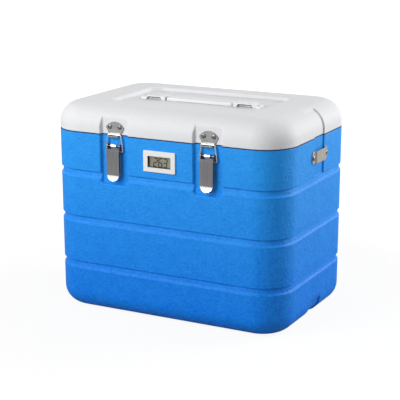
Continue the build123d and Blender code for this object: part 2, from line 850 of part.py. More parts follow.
def hinge_leaf_piece(x, way, own_knuckles):
    """One leaf with its knuckles; way is -1 for the body's leaf and 1 for the lid's."""
    knuckle = hinge_width / hinge_knuckle_count
    reach = hinge_knuckle_radius + hinge_leaf_clearance
    plate_height = hinge_leaf_height - reach
    with BuildPart() as leaf:
        with BuildSketch(back_plane(x, back_face, hinge_axis_z + way * (reach + plate_height / 2))):
            Rectangle(hinge_width, plate_height)
        extrude(amount=hinge_leaf)
        corners = leaf.edges().filter_by(Axis.Y).group_by(Axis.Z)
        fillet(corners[-1] if way > 0 else corners[0], hinge_corner)
        for index in own_knuckles:
            start = x - hinge_width / 2 + index * knuckle + hinge_knuckle_gap / 2
            with BuildSketch(Plane.YZ.offset(start)):
                with Locations((hinge_axis_y, hinge_axis_z)):
                    Circle(hinge_knuckle_radius)
                with Locations((back_face + hinge_leaf / 2, hinge_axis_z + way * reach / 2)):
                    Rectangle(hinge_leaf, reach)
                with Locations((hinge_axis_y, hinge_axis_z)):
                    Circle(hinge_pin_radius + pin_clearance, mode=Mode.SUBTRACT)
            extrude(amount=knuckle - hinge_knuckle_gap)
        with Locations(*[
            back_plane(x + step, back_face + hinge_leaf, hinge_axis_z + way * hinge_screw_drop)
            for step in (-hinge_screw_half_spacing, hinge_screw_half_spacing)
        ]):
            Hole(screw_radius + plate_hole_clearance, hinge_leaf)
    return leaf


for side, x in hinge_sides.items():
    hinge_lower_leaf = hinge_leaf_piece(x, -1, range(0, hinge_knuckle_count, 2))
    hinge_lower_leaf.part.label = f"hinge_lower_leaf_{side}"
    export_step(hinge_lower_leaf.part, f"parts/hinge_lower_leaf_{side}.step")

    hinge_upper_leaf = hinge_leaf_piece(x, 1, range(1, hinge_knuckle_count, 2))
    hinge_upper_leaf.part.label = f"hinge_upper_leaf_{side}"
    export_step(hinge_upper_leaf.part, f"parts/hinge_upper_leaf_{side}.step")

    with BuildPart() as hinge_pin:
        with BuildSketch(Plane.YZ.offset(x - hinge_width / 2)):
            with Locations((hinge_axis_y, hinge_axis_z)):
                Circle(hinge_pin_radius)
        extrude(amount=hinge_width)
    hinge_pin.part.label = f"hinge_pin_{side}"
    export_step(hinge_pin.part, f"parts/hinge_pin_{side}.step")

# Carry handle

arch_height = cap_height - cap_roof
arch_start = cap_start + cap_mouth_wall
arch_end = cap_end - cap_foot
band_half_length = arch_end - cap_slope_run - band_clearance

with BuildPart() as handle_band:
    with BuildSketch(Plane.XY.offset(band_low)):
        Rectangle(2 * band_half_length, band_width)
        head_place = band_half_length - band_head_length / 2
        with Locations((-head_place, 0), (head_place, 0)):
            Rectangle(band_head_length, band_head_width)
    extrude(amount=band_thickness)
handle_band.part.label = "handle_band"
export_step(handle_band.part, "parts/handle_band.step")

with BuildPart() as handle_grip:
    with BuildSketch(Plane.XY.offset(well_floor + handle_rest_gap)):
        RectangleRounded(grip_length, grip_width, grip_corner)
    extrude(amount=grip_thickness)
    fillet(handle_grip.faces().sort_by(Axis.Z)[-1].edges(), grip_round)
    add(handle_band.part, mode=Mode.SUBTRACT)
handle_grip.part.label = "handle_grip"
export_step(handle_grip.part, "parts/handle_grip.step")

for side, way in end_sides.items():
    with BuildPart() as handle_cap:
        with BuildSketch(Plane.XZ.offset(-cap_width / 2)):
            Polygon(
                (way * cap_start, well_floor),
                (way * cap_start, well_floor + cap_height),
                (way * (arch_end - cap_slope_run), well_floor + cap_height),
                (way * (arch_end + cap_slope_run / 2), well_floor + cap_foot_height),
                (way * cap_end, well_floor + cap_foot_height),
                (way * cap_end, well_floor),
                align=None,
            )
        extrude(amount=cap_width)
        rounded = handle_cap.faces().sort_by(Axis.Z)[-1].edges().filter_by(Axis.X)
        fillet(rounded, cap_round)
        with BuildSketch(Plane.XZ.offset(-cap_width / 2)):
            Polygon(
                (way * arch_start, well_floor),
                (way * (arch_start + cap_slope_run), well_floor + arch_height),
                (way * (arch_end - cap_slope_run), well_floor + arch_height),
                (way * arch_end, well_floor),
                align=None,
            )
        extrude(amount=cap_width, mode=Mode.SUBTRACT)
        with BuildSketch(Plane.XY.offset(well_floor)):
            with Locations((way * (cap_start + cap_mouth_wall / 2 + cap_slope_run / 2), 0)):
                Rectangle(cap_mouth_wall + cap_slope_run, band_width + 2 * band_clearance)
        extrude(amount=arch_height, mode=Mode.SUBTRACT)
        with Locations(*[plane for plane in cap_screw_planes() if plane.origin.X * way > 0]):
            Hole(cap_screw_radius + plate_hole_clearance, cap_seat)
            Cylinder(
                cap_screw_head_radius + cap_screw_seat_clearance,
                cap_height,
                align=(Align.CENTER, Align.CENTER, Align.MIN),
                mode=Mode.SUBTRACT,
            )
    handle_cap.part.label = f"handle_cap_{side}"
    export_step(handle_cap.part, f"parts/handle_cap_{side}.step")

# Screws

standard_screw = (screw_radius, screw_length, screw_head_radius, screw_head_height, screw_head_round)
small_screw = (
    cap_screw_radius,
    cap_screw_length,
    cap_screw_head_radius,
    cap_screw_head_height,
    cap_screw_head_round,
)
screw_sets = {
    "latch_base_screws": (latch_base_screw_planes(), standard_screw),
    "strap_bracket_screws": (bracket_screw_planes(), standard_screw),
    "hinge_lower_screws": (hinge_screw_planes(-1), standard_screw),
    "hinge_upper_screws": (hinge_screw_planes(1), standard_screw),
    "keeper_screws": (keeper_screw_planes(), standard_screw),
    "handle_cap_screws": (cap_screw_planes(), small_screw),
}
for name, (planes, sizes) in screw_sets.items():
    screws = screw_group(planes, *sizes)
    screws.part.label = name
    export_step(screws.part, f"parts/{name}.step")
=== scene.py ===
import json
import math

import bmesh
import bpy
import numpy as np
from mathutils import Matrix, Vector

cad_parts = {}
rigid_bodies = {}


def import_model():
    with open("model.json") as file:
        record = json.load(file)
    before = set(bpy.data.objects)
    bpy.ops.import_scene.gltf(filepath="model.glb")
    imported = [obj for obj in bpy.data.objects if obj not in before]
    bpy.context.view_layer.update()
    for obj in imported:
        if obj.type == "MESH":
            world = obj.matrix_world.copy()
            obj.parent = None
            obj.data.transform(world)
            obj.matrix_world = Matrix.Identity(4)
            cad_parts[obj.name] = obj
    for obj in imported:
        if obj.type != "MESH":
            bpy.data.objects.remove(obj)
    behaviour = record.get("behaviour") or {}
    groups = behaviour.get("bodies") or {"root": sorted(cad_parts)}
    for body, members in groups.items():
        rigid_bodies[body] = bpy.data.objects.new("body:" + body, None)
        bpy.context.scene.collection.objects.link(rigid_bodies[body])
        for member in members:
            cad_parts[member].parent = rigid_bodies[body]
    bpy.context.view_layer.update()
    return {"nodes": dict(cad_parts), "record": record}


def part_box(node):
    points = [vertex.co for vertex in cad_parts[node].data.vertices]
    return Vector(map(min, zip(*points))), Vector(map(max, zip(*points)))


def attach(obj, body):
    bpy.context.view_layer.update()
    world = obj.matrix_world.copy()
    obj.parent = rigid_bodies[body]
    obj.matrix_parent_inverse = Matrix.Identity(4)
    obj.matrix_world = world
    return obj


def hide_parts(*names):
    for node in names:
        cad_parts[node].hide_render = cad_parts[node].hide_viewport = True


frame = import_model()
scene = bpy.context.scene
mm = 0.001
bodies = frame["record"]["behaviour"]["bodies"]
bodyOf = {node: body for body, nodes in bodies.items() for node in nodes}
slotOf = {part["node"]: part["material_slot"] for part in frame["record"]["subparts"]}
print("frame loaded:", len(bodyOf), "nodes")


# lens and sensor in mm, shift as a share of the sensor's width
cameraSet = {
    "azimuth": 27.475, "elevation": 14.318, "roll": -0.051,  # degrees
    "distance": 1.7408, "target": (-0.0021, 0.0, 0.1443),  # metres
    "lens": 110.5, "sensor": 36.0, "shift": (-0.00075, 0.002),
}


def lookBack(way):  # the turn that gives a camera or lamp this way behind it
    return way.to_track_quat("Z", "Y").to_matrix().to_4x4()


def makeCamera(opts):
    azimuth, elevation = math.radians(opts["azimuth"]), math.radians(opts["elevation"])
    level = math.cos(elevation)
    back = Vector((math.sin(azimuth) * level, -math.cos(azimuth) * level, math.sin(elevation)))
    data = bpy.data.cameras.new("camera")
    data.lens, data.sensor_width = opts["lens"], opts["sensor"]
    data.shift_x, data.shift_y = opts["shift"]
    camera = bpy.data.objects.new("camera", data)
    scene.collection.objects.link(camera)
    turn = lookBack(back) @ Matrix.Rotation(math.radians(opts["roll"]), 4, "Z")
    place = Matrix.Translation(Vector(opts["target"]) + back * opts["distance"])
    camera.matrix_world = place @ turn
    bpy.context.scene.camera = camera


makeCamera(cameraSet)
scene.view_settings.view_transform = "Standard"
print("camera set")


# shader maths: a socket that Python arithmetic can act on, each operator adding its Math node
class Value:
    def __init__(self, nodes, socket):
        self.nodes, self.socket = nodes, socket

    def __add__(self, other):
        return self.nodes.math("ADD", self, other)

    def __radd__(self, other):
        return self.nodes.math("ADD", other, self)

    def __sub__(self, other):
        return self.nodes.math("SUBTRACT", self, other)

    def __rsub__(self, other):
        return self.nodes.math("SUBTRACT", other, self)

    def __mul__(self, other):
        return self.nodes.math("MULTIPLY", self, other)

    def __rmul__(self, other):
        return self.nodes.math("MULTIPLY", other, self)

    def __abs__(self):
        return self.nodes.math("ABSOLUTE", self)


# the nodes of one tree: each comes from node(), with its settings set before its sockets
class Nodes:
    def __init__(self, tree):
        self.tree = tree
        tree.nodes.clear()

    def join(self, socket, value):
        if isinstance(value, Value):
            self.tree.links.new(value.socket, socket)
        elif isinstance(value, tuple) and len(socket.default_value) == 4 and len(value) == 3:
            socket.default_value = (*value, 1.0)  # a colour
        else:
            socket.default_value = value

    def node(self, kind, settings=None, inputs=None, output=0):
        made = self.tree.nodes.new(kind)
        for name, value in (settings or {}).items():
            setattr(made, name, value)
        for name, value in (inputs or {}).items():
            self.join(made.inputs[name], value)
        return Value(self, made.outputs[output]) if len(made.outputs) else made

    def math(self, operation, a, b=0.0):
        return self.node("ShaderNodeMath", {"operation": operation}, {0: a, 1: b})

    def rays(self, kind):  # 1 for rays of this kind, 0 for others
        return self.node("ShaderNodeLightPath", output=f"Is {kind} Ray")


# one material: a Principled shader, and its textures in Object coordinates
class Finish(Nodes):
    def __init__(self, name, **constants):
        self.material = bpy.data.materials.new(name)
        self.material.use_nodes = True
        super().__init__(self.material.node_tree)
        self.shader = self.node("ShaderNodeBsdfPrincipled")
        self.out = self.node("ShaderNodeOutputMaterial", {}, {"Surface": self.shader})
        self.place = self.node("ShaderNodeTexCoord", output="Object")
        self.set(**constants)

    def set(self, **sockets):
        for name, value in sockets.items():
            self.join(self.shader.socket.node.inputs[name.replace("_", " ")], value)
        return self

    def clamp(self, value, low, high):  # 0 below low, 1 above high, a straight line between
        return self.node("ShaderNodeMapRange", {"clamp": True}, {
            "Value": value, "From Min": low, "From Max": high})

    def blend(self, a, b, share):  # colours a and b by share
        return self.node("ShaderNodeMix", {"data_type": "RGBA"}, {"Factor": share, 6: a, 7: b}, output=2)

    def noise(self, scale, detail=3.0, rough=0.5, place=None):  # scale in waves per metre
        return self.node("ShaderNodeTexNoise", {}, {
            "Vector": place or self.place, "Scale": scale, "Detail": detail, "Roughness": rough})

    def stretch(self, scale):
        return self.node("ShaderNodeMapping", {}, {"Vector": self.place, "Scale": scale})

    def axis(self, name):
        return self.node("ShaderNodeSeparateXYZ", {}, {0: self.place}, output=name)

    def cover(self, shader, share):  # another shader over this one, by share
        both = self.node("ShaderNodeMixShader", {}, {0: share, 1: self.shader, 2: shader})
        self.join(self.out.inputs["Surface"], both)

    def bump(self, height, distance, strength):
        return self.set(Normal=self.node("ShaderNodeBump", {}, {
            "Height": height, "Distance": distance, "Strength": strength}))


# two square lamps, in metres and watts, and an even world
lightSet = {
    "worldLevel": 0.29, "worldColour": (1.0, 1.0, 1.0),
    "lamps": [  # name, place, aim, size, watts
        ("keyLamp", (-0.75, -1.5, 1.05), (0.0, 0.0, 0.15), 1.2, 29.0),
        ("sideLamp", (1.8, 1.6, 1.05), (0.1, 0.0, 0.15), 1.3, 59.0),
    ],
}


def makeLights(opts):
    for name, place, aim, size, watts in opts["lamps"]:
        data = bpy.data.lights.new(name, "AREA")
        data.shape, data.size, data.energy = "SQUARE", size, watts
        lamp = bpy.data.objects.new(name, data)
        scene.collection.objects.link(lamp)
        lamp.matrix_world = Matrix.Translation(Vector(place)) @ lookBack(Vector(place) - Vector(aim))


# the world lights the object at its level, while the camera, glass and reflections see it white
def makeWorld(opts):
    world = bpy.data.worlds.new("studio")
    bpy.context.scene.world = world
    world.use_nodes = True
    sky = Nodes(world.node_tree)
    seen = sky.math("MAXIMUM", sky.rays("Camera"), sky.rays("Transmission"))
    seen = sky.math("MAXIMUM", seen, sky.rays("Glossy"))
    level = seen * (1.0 - opts["worldLevel"]) + opts["worldLevel"]
    back = sky.node("ShaderNodeBackground", {}, {"Color": opts["worldColour"], "Strength": level})
    sky.node("ShaderNodeOutputWorld", {}, {"Surface": back})


makeLights(lightSet)
makeWorld(lightSet)
print("lights made:", len(lightSet["lamps"]))


# moulded polyethylene: fine leather grain over slow waves of the wall, a little cloudiness, painted light
# that makes the body paler towards the top by a share of each tone, and a painted shade line in the gap
# where the body meets the lid
plasticSet = {
    # seam is the colour of painted shade for the gap between body and lid
    "body": {"colour": (0.0, 0.172, 0.76), "pale": (0.022, 0.33, 0.89), "seam": (0.001, 0.02, 0.10),
             "rough": 0.36, "rise": 0.72, "depth": 0.0009},
    "lid": {"colour": (0.755, 0.76, 0.78), "pale": (0.80, 0.805, 0.82), "seam": (0.35, 0.36, 0.40),
            "rough": 0.46, "rise": 0.0, "depth": 0.0003},
    "grain": 330.0, "grainSmooth": 0.6, "pore": 1300.0, "wave": 26.0, "cloud": 90.0, "fleck": 260.0,
    "grainHeight": 0.7, "poreHeight": 0.5, "waveHeight": 3.0, "strength": 0.6,
    "cloudShare": 0.4, "contrast": (0.35, 0.65), "mottle": 0.42, "low": 0.03, "high": 0.25,
    "cloudRough": 0.12, "poreRough": 0.06, "shine": 0.18,
    "seamShadeZ": 253.15, "seamShadeHalf": 0.48, "seamShadeDark": 0.6,  # mm, mm and the dark share of the half width
}


def mouldedPlastic(name, tones, opts):
    made = Finish(name, IOR=1.5, Specular_IOR_Level=opts["shine"])
    grain = made.node("ShaderNodeTexVoronoi", {"feature": "SMOOTH_F1"}, {
        "Vector": made.place, "Scale": opts["grain"], "Smoothness": opts["grainSmooth"]})
    pores = made.noise(opts["pore"], detail=2.0)
    waves = made.noise(opts["wave"], detail=2.0)
    clouds = made.noise(opts["cloud"], detail=4.0, rough=0.6)
    flecks = made.noise(opts["fleck"], detail=2.0)
    height = grain * opts["grainHeight"] + pores * opts["poreHeight"] + waves * opts["waveHeight"]
    made.bump(height, tones["depth"], opts["strength"])
    spots = clouds * opts["cloudShare"] + flecks * (1.0 - opts["cloudShare"])
    mottle = made.clamp(spots, *opts["contrast"]) * opts["mottle"]
    # painted light: the body turns paler towards the top, as if lit more from above
    up = made.clamp(made.axis("Z"), opts["low"], opts["high"]) * tones["rise"]
    tone = made.blend(tones["colour"], tones["pale"], mottle + up)
    # painted shade: a dark line of the seam colour at the seam's height, in the gap where body and lid meet
    off = abs(made.axis("Z") - opts["seamShadeZ"] * mm)
    clear = made.clamp(off, opts["seamShadeHalf"] * opts["seamShadeDark"] * mm, opts["seamShadeHalf"] * mm)
    made.set(Base_Color=made.blend(tones["seam"], tone, clear))
    made.set(Roughness=tones["rough"] + clouds * opts["cloudRough"] + pores * opts["poreRough"])
    return made.material


# sheet steel: dark speckle of its coating, wide smears and faint level scratches
steelSet = {
    "spots": 1600.0, "smears": 60.0, "lines": 260.0, "along": (1.0, 1.0, 12.0),
    "spotShare": 0.6, "contrast": (0.3, 0.7), "lineRough": 0.18, "smearRough": 0.06,
    "lineHeight": 0.6, "depth": 0.00004, "strength": 0.5,
}


def coatedSteel(name, colour, rough, speckle=0.35, opts=steelSet):
    made = Finish(name, Metallic=1.0)
    spots = made.noise(opts["spots"], rough=0.7)
    lines = made.noise(opts["lines"], detail=4.0, rough=0.6, place=made.stretch(opts["along"]))
    smears = made.noise(opts["smears"])
    tone = made.clamp(spots * opts["spotShare"] + smears * (1.0 - opts["spotShare"]), *opts["contrast"])
    dark = tuple(c * (1.0 - speckle) for c in colour)
    made.set(Base_Color=made.blend(dark, colour, tone))
    made.set(Roughness=rough + lines * opts["lineRough"] - smears * opts["smearRough"])
    height = lines * opts["lineHeight"] + spots * (1.0 - opts["lineHeight"])
    made.bump(height, opts["depth"], opts["strength"])
    return made.material


# plain plastic, resin, rubber or paint: fine grain and wide paler smears
plainSet = {
    "smears": 40.0, "paler": 1.08, "lift": 0.01, "grainRough": 0.1, "smearRough": 0.05, "strength": 0.5,
}


def plainPlastic(name, colour, rough, grain=700.0, depth=0.00006, opts=plainSet):
    made = Finish(name, IOR=1.48)
    fine = made.noise(grain)
    smears = made.noise(opts["smears"])
    pale = tuple(min(1.0, c * opts["paler"] + opts["lift"]) for c in colour)
    made.set(Base_Color=made.blend(colour, pale, smears))
    made.set(Roughness=rough + fine * opts["grainRough"] + smears * opts["smearRough"])
    made.bump(fine, depth, opts["strength"])
    return made.material


# closed-cell foam: pale cells that are darker about their middles
foamSet = {
    "cells": 600.0, "dark": 0.75, "contrast": (0.1, 0.6), "rough": 0.9, "depth": 0.0003, "strength": 0.7,
}


def foamFinish(name, colour, opts):
    made = Finish(name, Roughness=opts["rough"])
    cells = made.node("ShaderNodeTexVoronoi", {}, {"Vector": made.place, "Scale": opts["cells"]})
    dark = tuple(c * opts["dark"] for c in colour)
    made.set(Base_Color=made.blend(dark, colour, made.clamp(cells, *opts["contrast"])))
    made.bump(cells, opts["depth"], opts["strength"])
    return made.material


# clear window: nearly all of it lets light through, with a little dust
lensSet = {
    "colour": (0.05, 0.05, 0.05), "rough": 0.04, "alpha": 0.06,
    "dust": 300.0, "dustRough": 0.05, "dustAlpha": 0.03,
}


def lensFinish(name, opts):
    made = Finish(name, Base_Color=opts["colour"], IOR=1.45)
    dust = made.noise(opts["dust"])
    made.set(Roughness=opts["rough"] + dust * opts["dustRough"])
    made.set(Alpha=opts["alpha"] + dust * opts["dustAlpha"])
    return made.material


# display: grey-green polariser with a faint lengthwise sheen painted into its colour, inside a dark border
# of painted shade from the window's walls
displaySet = {
    "left": (0.36, 0.31, 0.23), "right": (0.36, 0.38, 0.27), "frame": (0.03, 0.025, 0.02),
    "half": (15.6, 6.6), "lift": -0.2, "soft": 0.25, "fade": (5.0, 8.0),  # mm
    "sheen": 90.0, "along": (1.0, 1.0, 8.0), "sheenShare": 0.2, "rough": 0.3, "sheenRough": 0.1,
}


def displayFinish(name, opts):
    made = Finish(name, IOR=1.45)
    low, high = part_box("lcd_panel")
    sheen = made.noise(opts["sheen"], detail=2.0, place=made.stretch(opts["along"]))
    across = made.clamp(made.axis("X"), low.x + opts["fade"][0] * mm, high.x - opts["fade"][1] * mm)
    share = across * (1.0 - opts["sheenShare"]) + sheen * opts["sheenShare"]
    tone = made.blend(opts["left"], opts["right"], share)
    middleZ = (low.z + high.z) / 2 + opts["lift"] * mm
    aside = abs(made.axis("X")) - opts["half"][0] * mm
    above = abs(made.axis("Z") - middleZ) - opts["half"][1] * mm
    # painted shade: outside half the panel darkens to the frame colour, as the window's walls shade its
    # edges
    onWallShade = made.clamp(made.math("MAXIMUM", aside, above), 0.0, opts["soft"] * mm)
    made.set(Base_Color=made.blend(tone, opts["frame"], onWallShade))
    made.set(Roughness=opts["rough"] + sheen * opts["sheenRough"])
    return made.material


# latch steel: brushed, with a painted highlight below or above a height, where the lever's flared tip and
# the base's barrel catch the light;
# the lever's face is painted dark for the dark surroundings it reflects
latchSet = {
    "lever": {"brushed": (0.17, 0.17, 0.175), "polished": (0.86, 0.86, 0.85), "from": 199.4, "way": -1},
    "base": {"brushed": (0.42, 0.42, 0.43), "polished": (0.90, 0.90, 0.89), "from": 236.4, "way": 1},
    "change": 0.3,  # mm, half the height over which one turns into the other
    "lines": 900.0, "along": (1.0, 1.0, 0.03), "paler": 1.35, "contrast": (0.35, 0.65),
    "rough": 0.46, "polish": 0.16, "lineRough": 0.1, "depth": 0.00004, "strength": 0.5,
}


def latchFinish(name, tones, opts):
    made = Finish(name, Metallic=1.0)
    lines = made.noise(opts["lines"], rough=0.6, place=made.stretch(opts["along"]))
    past = (made.axis("Z") - tones["from"] * mm) * tones["way"]
    bright = made.clamp(past, -opts["change"] * mm, opts["change"] * mm)
    paler = tuple(c * opts["paler"] for c in tones["brushed"])
    brushed = made.blend(tones["brushed"], paler, made.clamp(lines, *opts["contrast"]))
    # painted highlight: past the height the brushed tone turns into the bright one, as on a lit tip or
    # barrel
    made.set(Base_Color=made.blend(brushed, tones["polished"], bright))
    made.set(Roughness=opts["rough"] - bright * opts["polish"] + lines * opts["lineRough"])
    made.bump(lines, opts["depth"], opts["strength"])
    return made.material


finishes = {  # name, colour, roughness, then speckle of a steel or grain and depth of a plastic
    "body_plastic": mouldedPlastic("bluePlastic", plasticSet["body"], plasticSet),
    "lid_plastic": mouldedPlastic("whitePlastic", plasticSet["lid"], plasticSet),
    "liner_plastic": plainPlastic("linerPlastic", (0.80, 0.81, 0.82), 0.28, 400.0),
    "foam": foamFinish("rigidFoam", (0.86, 0.76, 0.50), foamSet),
    "bezel_plastic": plainPlastic("bezelPlastic", (0.78, 0.78, 0.77), 0.32),
    "lens": lensFinish("displayWindow", lensSet),
    "lcd": displayFinish("displayPanel", displaySet),
    "circuit_board": plainPlastic("boardResin", (0.04, 0.22, 0.09), 0.4),
    "cell_steel": coatedSteel("cellSteel", (0.72, 0.72, 0.70), 0.3, 0.1),
    "lead_sheath": plainPlastic("leadSheath", (0.03, 0.03, 0.03), 0.5),
    "probe_steel": coatedSteel("probeSteel", (0.6, 0.6, 0.6), 0.3, 0.1),
    "seal_rubber": plainPlastic("sealRubber", (0.05, 0.05, 0.055), 0.65, 300.0, 0.0001),
    "latch_steel": latchFinish("latchBaseSteel", latchSet["base"], latchSet),
    "lever": latchFinish("leverSteel", latchSet["lever"], latchSet),
    "lever_pin": coatedSteel("leverPinSteel", (0.12, 0.12, 0.125), 0.35, 0.2),
    "keeper_steel": coatedSteel("keeperSteel", (0.40, 0.40, 0.39), 0.42, 0.55),
    "bracket_steel": coatedSteel("bracketSteel", (0.46, 0.43, 0.39), 0.42, 0.3),
    "hinge_steel": coatedSteel("hingeSteel", (0.5, 0.5, 0.5), 0.4, 0.3),
    "wire_steel": coatedSteel("wireSteel", (0.80, 0.76, 0.70), 0.2, 0.1),
    "pin_steel": coatedSteel("pinSteel", (0.62, 0.62, 0.62), 0.3, 0.15),
    "screw_steel": coatedSteel("screwSteel", (0.24, 0.24, 0.25), 0.32, 0.2),
    "handle_plastic": plainPlastic("handlePlastic", (0.74, 0.745, 0.76), 0.36),
    # the band has the handle's pale tone as painted light, which lifts the shade inside the mouths of the
    # handle caps
    "band_steel": plainPlastic("bandPaintedLight", (0.74, 0.745, 0.76), 0.4),
}
print("finishes made:", len(finishes))


def newPiece(name, points, faces, body, slot, replaced=()):
    mesh = bpy.data.meshes.new(name)
    mesh.from_pydata(points.reshape(-1, 3), [], faces)
    mesh.update()
    piece = bpy.data.objects.new(name, mesh)
    scene.collection.objects.link(piece)
    return settle(piece, body, slot, replaced)


# gives a piece the finish of its slot, puts it on its body and hides the nodes it stands for
def settle(piece, body, slot, replaced=()):
    piece.data.materials.clear()
    piece.data.materials.append(finishes[slot])
    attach(piece, body)
    if replaced:
        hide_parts(*replaced)
    return piece


# quads of a grid of rows by columns, closed round the columns
def gridFaces(rows, columns, start=0):
    row = np.arange(rows - 1)[:, None]
    col = np.arange(columns)[None, :]
    nextCol = (col + 1) % columns
    corners = (row * columns + col, row * columns + nextCol,
               (row + 1) * columns + nextCol, (row + 1) * columns + col)
    return np.stack([c.ravel() for c in np.broadcast_arrays(*corners)], axis=1) + start


def shade(piece, sharp):  # smooth where faces meet at less than sharp, in degrees
    piece.data.shade_smooth()
    piece.data.set_sharp_from_angle(angle=math.radians(sharp))
    return piece


# merges doubles, drops faces without area and shades the piece
def clean(piece, sharp, merge=1e-6, recalc=False):
    work = bmesh.new()
    work.from_mesh(piece.data)
    bmesh.ops.remove_doubles(work, verts=work.verts, dist=merge)
    bmesh.ops.dissolve_degenerate(work, edges=work.edges, dist=merge)
    if recalc:
        bmesh.ops.recalc_face_normals(work, faces=work.faces)
    work.to_mesh(piece.data)
    work.free()
    return shade(piece, sharp)


# the result of a piece's modifiers becomes its mesh
def bake(piece):
    graph = bpy.context.evaluated_depsgraph_get()
    result = bpy.data.meshes.new_from_object(piece.evaluated_get(graph))
    piece.modifiers.clear()
    old, piece.data = piece.data, result
    result.name = piece.name
    bpy.data.meshes.remove(old)
    return piece


# 0 below low and 1 above high, with 3t^2 - 2t^3 between
def smoothStep(low, high, value):
    t = np.clip((value - low) / (high - low), 0.0, 1.0)
    return t * t * (3.0 - 2.0 * t)


# larger of a and b, with a rounded change-over of about width
def softMax(a, b, width):
    return 0.5 * (a + b + np.sqrt((a - b) ** 2 + width ** 2))


# The moulded skins, in mm. A column has a core point on a rectangle and an outward normal; a row has an
# offset from the core, a height and shares that draw the core in. Point = core * share + normal * offset.
skinSet = {
    "length": 354.0, "width": 240.0, "radius": 47.5, "wall": 2.95, "edge": 0.9, "ledge": 2.0,
    "seam": 253.5, "lidBase": 254.0, "lidTop": 291.0, "draft": 0.24, "bottomRadius": 26.0, "shoulder": 30.0,
    "grooves": (60.0, 125.5, 191.0), "grooveHeight": 9.8, "grooveDepth": 2.8, "grooveSteep": 1.1,
    "grooveLip": (1.5, 1.9), "grooveSoft": 0.55, "bead": 0.12, "beadWidth": 0.8,
    "latchX": 70.5, "recessWidth": 44.0, "recessDepth": 5.0, "recessBottom": 184.5, "recessRun": 2.5,
    "recessCorner": 4.0, "recessSoft": 0.7, "recessZone": (12.0, 8.0),
    "channelHalf": 17.0, "channelDepth": 2.0, "channelSoft": 0.7, "channelTopX": 161.0,
    "channelLow": 24.0, "channelHigh": 200.8,
    "wellLength": 222.0, "wellWidth": 130.0, "wellDepth": 5.5, "wellRun": 3.0, "wellCorner": 14.0,
    "wellMargin": 3.0, "wellFloor": 4.0, "wellRound": (1.4, 1.6),
    "sharp": 50.0, "merge": 2e-6, "cutMargin": 1.6,
    "columns": {  # where the grid has its columns; a triple is a first, a last and a count
        "corner": 22, "back": 17, "ends": (0.0, 12.0, 22.0),
        "middle": (-36.0, -25.0, -12.0, 0.0, 12.0, 25.0, 36.0),
        "recess": (-11.0, -4.0, 4.0, 11.0), "recessWall": (-3.0, 2.6, 13),
        "side": (24.0, 34.0, 46.0, 60.0), "channel": (-9.0, 0.0, 9.0), "channelWall": (-1.2, 1.2, 9),
    },
    "rows": {  # and its rows
        "foot": (0.0, 0.3, 0.6, 0.85), "fillet": 16, "low": (32.0, 42.0, 52.0),
        "grooveLow": (-1.5, -0.8, 0.0, 0.8, 1.6, 3.0, 5.0), "grooveTop": (-1.4, 3.8, 14),
        "between": (5.0, 14.0, 26.0, 38.0, 50.0), "recess": (-1.5, 7.5, 16),
        "high": (222.0, 232.0, 242.0, 249.0), "nearest": 0.25, "margins": (2.0, 0.5), "lip": 6,
        "lidSide": (2.5, 4.5), "dome": 26, "top": (0.15, 0.35, 0.6, 0.8, 0.92), "wellWall": 6,
        "wellFloor": (0.85, 0.6, 0.3, 0.0),
    },
}


# columns round a rounded rectangle: four straight runs, and quarter circles about the core's corners
def skinColumns(opts):
    at = opts["columns"]
    coreX = opts["length"] / 2 - opts["radius"]
    coreY = opts["width"] / 2 - opts["radius"]
    half, run = opts["recessWidth"] / 2, opts["recessRun"]
    inner, outer, count = at["recessWall"]
    wallX = np.linspace(half - run + inner, half + outer, count)
    nearLatch = np.concatenate([-wallX[::-1], at["recess"], wallX])
    ends = np.array(at["ends"])
    front = np.concatenate([ends - coreX, nearLatch - opts["latchX"], at["middle"],
                            nearLatch + opts["latchX"], coreX - ends[::-1]])
    inner, outer, count = at["channelWall"]
    wallY = np.linspace(opts["channelHalf"] + inner, opts["channelHalf"] + outer, count)
    farY = np.append(at["side"], coreY)
    side = np.concatenate([-farY[::-1], -wallY[::-1], at["channel"], wallY, farY])
    back = np.linspace(coreX, -coreX, at["back"])
    turn = np.linspace(0.0, math.pi / 2, at["corner"])[1:-1]
    core, normal = [], []

    def straight(x, y, out):
        x, y = np.broadcast_arrays(x, y)
        core.append(np.stack([x, y], axis=1))
        normal.append(np.tile(out, (len(x), 1)))

    def corner(x, y, begin):
        core.append(np.tile((x, y), (len(turn), 1)))
        normal.append(np.stack([np.cos(begin + turn), np.sin(begin + turn)], axis=1))

    straight(front, -coreY, (0.0, -1.0))
    corner(coreX, -coreY, -math.pi / 2)
    straight(coreX, side, (1.0, 0.0))
    corner(coreX, coreY, 0.0)
    straight(back, coreY, (0.0, 1.0))
    corner(-coreX, coreY, math.pi / 2)
    straight(-coreX, side[::-1], (-1.0, 0.0))
    corner(-coreX, -coreY, math.pi)
    return np.concatenate(core), np.concatenate(normal)


# groove depth at height z: a low bead, a lip, a slope up to the deepest line and a steep wall above it,
# blurred by a window grooveSoft to each side
def grooveDepthAt(z, opts):
    step = 0.05
    fine = np.arange(-2.0, opts["lidTop"], step)
    depth = np.zeros_like(fine)
    for low in opts["grooves"]:
        top = low + opts["grooveHeight"]
        places = (low, low + opts["grooveLip"][0], top - opts["grooveSteep"], top)
        depth += np.interp(fine, places, (0.0, opts["grooveLip"][1], opts["grooveDepth"], 0.0))
        depth -= opts["bead"] * np.exp(-((fine - low + opts["beadWidth"]) / opts["beadWidth"]) ** 2)
    window = np.hanning(int(2 * opts["grooveSoft"] / step) | 1)
    return np.interp(z, fine, np.convolve(depth, window / window.sum(), mode="same"))


# offset from the core, height, shares of the core, inset of the rim, tilt of the wall and groove depth
rowNames = ("offset", "z", "shareX", "shareY", "rim", "tilt", "groove")


